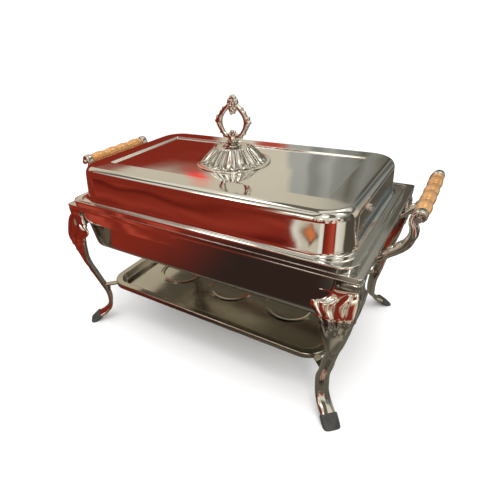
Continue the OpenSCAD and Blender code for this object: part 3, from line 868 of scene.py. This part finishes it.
def grip_profile(length):
    """Turned outline: long bulges with a bead between two of them and one at each end."""
    half = length / 2
    rows = [[0.0, -half]]
    mirror_bulges = [(-stop, -start, waist, swell) for start, stop, waist, swell in reversed(BULGES)]
    for start, stop, waist, swell in mirror_bulges + BULGES:
        steps = 5 if stop - start < 0.1 else 14
        for k in range(steps):
            t = k / steps
            rows.append([waist + swell * math.sin(math.pi * t) ** 0.9, half * (start + (stop - start) * t)])
    rows.append([8.2, half])
    rows.append([0.0, half])
    return rows


def grips():
    """The two turned grips."""
    length = GRIP_HIGH.y - GRIP_LOW.y
    x, z = (GRIP_LOW.x + GRIP_HIGH.x) / 2, (GRIP_LOW.z + GRIP_HIGH.z) / 2
    along_y = Matrix.Rotation(math.pi / 2, 4, "X")
    for name, end in (("grip_left", -1), ("grip_right", 1)):
        bm = bmesh.new()
        turned(bm, grip_profile(length), Matrix.Translation((end * x, 0, z)) @ along_y)
        piece = finish_mesh(bm, name + "_turned")
        place(piece, "stand", "gold_plate", [name])


# ---- What the steel mirrors ----

DARK_RED = (0.12, 0.011, 0.007)
RED = (0.25, 0.026, 0.014)
BRIGHT_RED = (0.5, 0.07, 0.04)
ORANGE = (0.75, 0.22, 0.07)
CREAM = (0.66, 0.6, 0.47)
PALE = (0.88, 0.84, 0.74)
LIGHT_GREY = (0.42, 0.42, 0.385)
GREY = (0.27, 0.27, 0.24)
TEAL = (0.1, 0.125, 0.125)
BROWN = (0.035, 0.02, 0.016)
UMBER = (0.085, 0.073, 0.056)
OLIVE = (0.15, 0.137, 0.105)


def banded(value, stops):
    """Colour at value among stops of (value, colour), each running softly into the next."""
    before = stops[0]
    for stop in stops[1:]:
        if value < stop[0]:
            return mix(before[1], stop[1], smooth_step(before[0], stop[0], value))
        before = stop
    return before[1]


# Colours round the room, by heading in degrees from the back to the right: goods, then the wall over them
GOODS = [
    (-180, RED), (-34, RED), (-31.5, CREAM), (-21.6, CREAM), (-21, LIGHT_GREY), (-18, LIGHT_GREY),
    (-17, GREY), (-15.5, GREY), (-14.5, LIGHT_GREY), (-12.5, GREY), (-10.5, GREY), (-9, OLIVE), (-7, GREY),
    (-4, OLIVE), (0, UMBER), (3, UMBER), (6, GREY), (11, OLIVE), (14, TEAL), (17, TEAL), (20, GREY),
    (30, LIGHT_GREY), (45, CREAM), (60, CREAM), (64, BROWN), (69, UMBER), (84, OLIVE), (96, UMBER),
    (108, CREAM), (118, PALE), (120, ORANGE), (125, ORANGE), (127, PALE), (133, PALE), (135, RED),
    (141, BRIGHT_RED), (143, CREAM), (150, PALE), (153, RED), (180, RED),
]
WALL = [
    (-180, CREAM), (-165, CREAM), (-155, RED), (-95, RED), (-80, CREAM), (-20, CREAM), (0, GREY), (30, OLIVE),
    (100, GREY), (130, PALE), (180, CREAM),
]
# A person and a gap, which repeat every PERSON degrees in front of the dish
PERSON = 22
PEOPLE = [
    (0, BROWN), (1.5, CREAM), (8, PALE), (9, ORANGE), (11, RED), (15, RED), (16, ORANGE), (17, CREAM),
    (21, CREAM), (PERSON, BROWN),
]
# Bright windows, lamps and a red sign: heading, elevation, size and colour
WINDOWS = [
    (150, 52, 7, (5, 4.8, 4.4)), (70, 58, 6, (4, 3.9, 3.5)), (-60, 62, 6, (4, 3.9, 3.5)),
    (-140, 44, 6, (4, 3.9, 3.5)), (10, 50, 5, (3, 2.9, 2.6)), (110, 30, 3, (3, 2.9, 2.6)),
    (-165, 25, 5, (2.4, 2.3, 2.0)), (165, 26, 5, (2.4, 2.3, 2.0)), (-37.5, 20, 2.6, (1.1, 0.1, 0.08)),
    (-24, 9.5, 2.6, BRIGHT_RED),
]


def goods_top(turn):
    """Elevation at which the goods end at a heading."""
    if abs(turn) > 100:
        return 7
    return 17.5 if turn < -20 else 24


def wall_colour(turn, lift):
    """What the steel sees at a heading and an elevation."""
    wall = banded(turn, WALL)
    if turn > 100 or turn < -160:
        wall = mix(banded((turn + 186) % PERSON, PEOPLE), wall, smooth_step(16, 19, lift))
    top = goods_top(turn)
    colour = mix(banded(turn, GOODS), wall, smooth_step(top - 1.5, top + 1.5, lift))
    tiles = mix(PALE, OLIVE, smooth_step(0.1, 0.6, math.sin(math.radians(turn * 5 + lift * 4))))
    colour = mix(colour, tiles, smooth_step(33, 42, lift))
    for at_turn, at_lift, reach, glow in WINDOWS:
        away = math.hypot((turn - at_turn) * math.cos(math.radians(lift)), lift - at_lift) / reach
        colour = mix(colour, glow, 1 - smooth_step(0.7, 1.2, away))
    return colour


# The cover's front right corner, whose round wall mirrors a fan of the ground
CORNER_X, CORNER_Y = 0.24, -0.16


def corner_fan(x, y):
    """Strips seen in the cover's corner: cream, an orange figure, cream, red and cream."""
    swing = math.degrees(math.atan2(x - CORNER_X, CORNER_Y - y)) + 16
    reach = math.hypot(x - CORNER_X, y - CORNER_Y)
    along = swing * 3 if swing < 0 else swing / 3
    middle = 1.36 + 0.02 * max(along, 0)
    bend = abs(reach - middle) / 0.16
    strips = banded(along, [
        (-15 + 2 * bend, RED), (-13.5 + 2 * bend, PALE), (-6.5, CREAM), (9, CREAM), (10, PALE), (13, PALE),
        (14, DARK_RED), (16, RED), (23, BRIGHT_RED), (25, RED), (26, PALE), (36, CREAM),
        (38, BROWN), (40, UMBER),
    ])
    figure = abs(along - 0.5) / 9 + bend * 0.7
    strips = mix(strips, BROWN, smooth_step(1.1, 1.0, figure))
    strips = mix(strips, ORANGE, smooth_step(0.82, 0.72, figure))
    fan = smooth_step(0.95, 1.05, reach) * (1 - smooth_step(118, 122, swing))
    return strips, fan if along > -17 else 0


def ground_colour(x, y):
    """What the steel sees below it: red to the front left, dark brown in front, olive to the back."""
    strips, fan = corner_fan(x, y)
    x += 0.03 * math.sin(7 * y) + 0.02 * math.sin(17 * y)
    y += 0.03 * math.sin(5 * x) + 0.015 * math.sin(13 * x)
    near = banded(x, [
        (-9, RED), (-0.5, RED), (-0.08, BROWN), (0.16, BROWN), (0.3, OLIVE), (0.6, UMBER), (9, UMBER),
    ])
    waves = math.sin(50 * (y - 0.3 * x) + 2 * math.sin(5 * x))
    if -1.1 < x < -0.35:
        near = mix(near, BRIGHT_RED, smooth_step(0.0, 0.9, waves) * smooth_step(-0.46, -0.5, y))
    patches = math.sin(34 * x + 12 * y) + math.sin(23 * y - 9 * x)
    if x > 0.2:
        near = mix(near, mix(BROWN, CREAM, smooth_step(-0.4, 1.9, patches)), 0.4)
    folds = math.sin(13 * y + 2.2 * x + 2 * math.sin(1.7 * x)) + 0.5 * math.sin(31 * y - 3 * x)
    if x < -1.88:
        folds = 2.4 * math.sin(7 * y + 3 * x)
    cloth = mix(RED, DARK_RED, smooth_step(0, 1.4, folds))
    cloth = mix(cloth, BRIGHT_RED, 0.35 * smooth_step(0, -1.4, folds))
    far = banded(x, [(-9, cloth), (0.35, cloth), (0.8, BROWN), (1.2, CREAM), (1.5, UMBER), (9, UMBER)])
    front = mix(far, near, smooth_step(-1.15, -0.95, y))
    front = mix(front, strips, fan)
    back = banded(x, [
        (-9, RED), (-0.9, RED), (-0.5, OLIVE), (0.45, OLIVE), (0.6, UMBER), (0.75, GREY),
        (1.0, UMBER), (9, UMBER),
    ])
    if x < -1.6:
        back = cloth
    colour = mix(front, back, smooth_step(-0.32, -0.12, y))
    # Painted shadow: the ground right under the dish is turned olive, as the dish's shadow, in what the steel
    # mirrors.
    painted_shadow_under = smooth_step(0.46, 0.1, abs(x)) * smooth_step(0.34, 0.2, abs(y))
    return mix(colour, OLIVE, painted_shadow_under)


def glow_sheet(name, points, faces, colours):
    """Sheet that shines with a colour at each point and shows in the steel only."""
    mesh = bpy.data.meshes.new(name)
    mesh.from_pydata(points, [], faces)
    tint = mesh.color_attributes.new("tint", "FLOAT_COLOR", "POINT")
    for i, colour in enumerate(colours):
        tint.data[i].color = (*colour, 1)
    obj = bpy.data.objects.new(name, mesh)
    bpy.context.scene.collection.objects.link(obj)
    look = bpy.data.materials.new(name)
    look.use_nodes = True
    tree = look.node_tree
    tree.nodes.clear()
    attribute = tree.nodes.new("ShaderNodeVertexColor")
    attribute.layer_name = "tint"
    glow = tree.nodes.new("ShaderNodeEmission")
    output = tree.nodes.new("ShaderNodeOutputMaterial")
    tree.links.new(attribute.outputs["Color"], glow.inputs["Color"])
    tree.links.new(glow.outputs["Emission"], output.inputs["Surface"])
    mesh.materials.append(look)
    obj.visible_camera = False
    obj.visible_diffuse = False
    obj.visible_shadow = False


def grid_faces(rows, columns):
    """Quads of a grid of points, row after row."""
    return [(i * columns + k, i * columns + k + 1, (i + 1) * columns + k + 1, (i + 1) * columns + k)
            for i in range(rows - 1) for k in range(columns - 1)]


def surroundings():
    """A room for the steel to mirror: round walls with a ceiling, and the ground."""
    reach, eye = 6.0, 0.35
    lowest = -3.4
    columns, rows = 361, 66
    points = []
    colours = []
    for i in range(rows):
        lift = lowest + (90 - lowest) * (i / (rows - 1)) ** 1.3
        for k in range(columns):
            turn = k - 180
            flat = reach * math.cos(math.radians(lift))
            points.append((flat * math.sin(math.radians(turn)), flat * math.cos(math.radians(turn)),
                           eye + reach * math.sin(math.radians(lift))))
            colours.append(wall_colour(turn, lift))
    glow_sheet("room_walls", points, grid_faces(rows, columns), colours)
    half = 150
    side = 2 * half + 1
    spots = [reach * math.copysign(abs(k / half - 1) ** 1.8, k / half - 1) for k in range(side)]
    glow_sheet("room_ground", [(x, y, 0.002) for y in spots for x in spots], grid_faces(side, side),
               [ground_colour(x, y) for y in spots for x in spots])


# ---- Stage ----

def lamp(name, place_at, target, size, power, colour=(1, 1, 1)):
    """Soft rectangular lamp that the steel doesn't mirror."""
    data = bpy.data.lights.new(name, "AREA")
    data.shape = "RECTANGLE"
    data.size, data.size_y = size
    data.energy = power
    data.color = colour
    obj = bpy.data.objects.new(name, data)
    obj.location = place_at
    obj.rotation_euler = (Vector(place_at) - Vector(target)).to_track_quat("Z", "Y").to_euler()
    bpy.context.scene.collection.objects.link(obj)
    obj.visible_glossy = False


def stage():
    """Pale floor, soft lights and a pale surround."""
    mesh = bpy.data.meshes.new("floor")
    reach = 14.0
    mesh.from_pydata([(-reach, -reach, 0), (reach, -reach, 0), (reach, reach, 0), (-reach, reach, 0)],
                     [], [(0, 1, 2, 3)])
    floor = bpy.data.objects.new("floor", mesh)
    bpy.context.scene.collection.objects.link(floor)
    look = bpy.data.materials.new("floor")
    look.use_nodes = True
    shader = look.node_tree.nodes["Principled BSDF"]
    shader.inputs["Base Color"].default_value = (0.95, 0.95, 0.95, 1)
    shader.inputs["Roughness"].default_value = 0.9
    shader.inputs["Specular IOR Level"].default_value = 0
    mesh.materials.append(look)
    floor.visible_glossy = False
    world = bpy.data.worlds.new("studio")
    bpy.context.scene.world = world
    world.use_nodes = True
    surround = world.node_tree.nodes["Background"]
    surround.inputs["Color"].default_value = (1, 1, 1, 1)
    surround.inputs["Strength"].default_value = 1.07
    lamp("lamp_top", (0.2, -0.3, 2.2), (0, 0, 0.3), (1.6, 1.2), 22)
    lamp("lamp_front", (1.4, -1.7, 1.5), (0, 0, 0.3), (0.8, 0.8), 12, (1, 0.97, 0.92))
    bpy.context.scene.view_settings.view_transform = "Standard"


def camera():
    """Camera at the reference's angle: right of the front, looking down at the dish."""
    place_at = (0.3523, -0.6207, 0.5722)
    yaw, pitch, roll = math.radians(34.95), math.radians(40.3), math.radians(-3.56)
    ahead = Vector((-math.sin(yaw) * math.cos(pitch), math.cos(yaw) * math.cos(pitch), -math.sin(pitch)))
    right = Vector((math.cos(yaw), math.sin(yaw), 0))
    up = right.cross(ahead)
    side = right * math.cos(roll) + up * math.sin(roll)
    head = up * math.cos(roll) - right * math.sin(roll)
    data = bpy.data.cameras.new("camera")
    data.lens = 24.88
    data.shift_x = 0.0698
    data.shift_y = 0.1416
    data.clip_end = 100
    obj = bpy.data.objects.new("camera", data)
    turn = Matrix((side, head, -ahead)).transposed().to_4x4()
    obj.matrix_world = Matrix.Translation(place_at) @ turn
    bpy.context.scene.collection.objects.link(obj)
    bpy.context.scene.camera = obj


camera()
stage()
surroundings()

cover_dome()
bathtub()
food_tray()
shelf_tray()
fluted_base()
ring_casting()
legs()
foot_caps()
rivet_heads()
brackets()
grips()
dress([
    "handle_collar", "handle_screw", "handle_washer",
    "rail_front", "rail_back", "rail_left", "rail_right",
    "shelf_tab_front_left", "shelf_tab_front_right", "shelf_tab_back_left", "shelf_tab_back_right",
    "shelf_screws", "bracket_screws", "grip_rod_left", "grip_rod_right", "grip_nuts",
])
